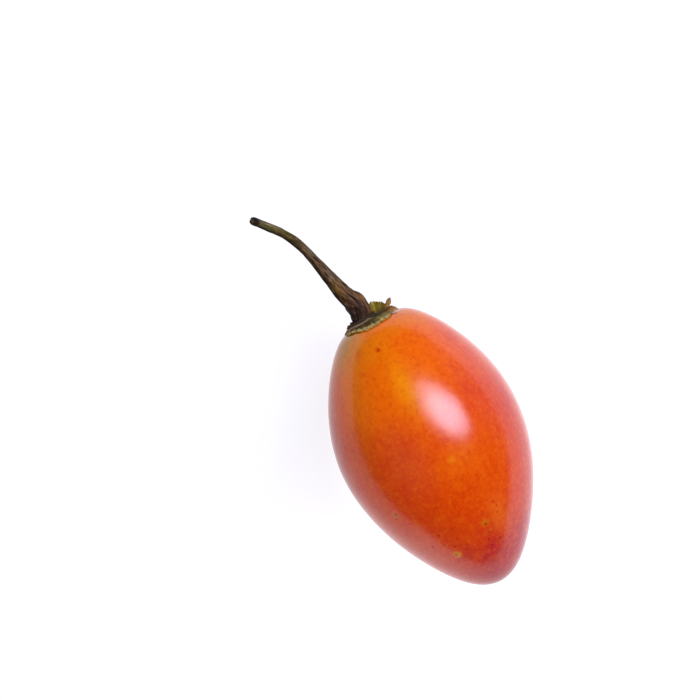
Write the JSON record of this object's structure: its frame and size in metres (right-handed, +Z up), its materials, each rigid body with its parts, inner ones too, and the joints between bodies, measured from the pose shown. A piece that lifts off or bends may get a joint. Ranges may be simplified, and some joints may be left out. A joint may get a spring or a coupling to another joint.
{
  "type": "tamarillo",
  "caption": "Ripe egg-shaped orange-red tamarillo lying on its side, with its dried calyx and a long woody stem that bends away.",
  "frame": {"origin": "centre of the small flat spot under the fruit, on the surface that it lies on", "axes": "+Z up, +Y from the tip towards the stem, +X to the right of someone at the tip who looks at the stem"},
  "size_m": [0.0452, 0.103, 0.0445],
  "materials": {
    "fruit_skin": "thin waxy skin, satin to glossy, orange near the stem and red towards the tip",
    "dry_calyx": "dull dried sepals, olive brown with pale edges",
    "woody_stem": "dull ridged bark, brown near the fruit and olive green towards the cut end"
  },
  "bodies": {
    "root": {"fruit": "fruit_skin", "calyx": "dry_calyx", "stem": "woody_stem"}
  },
  "joints": []
}
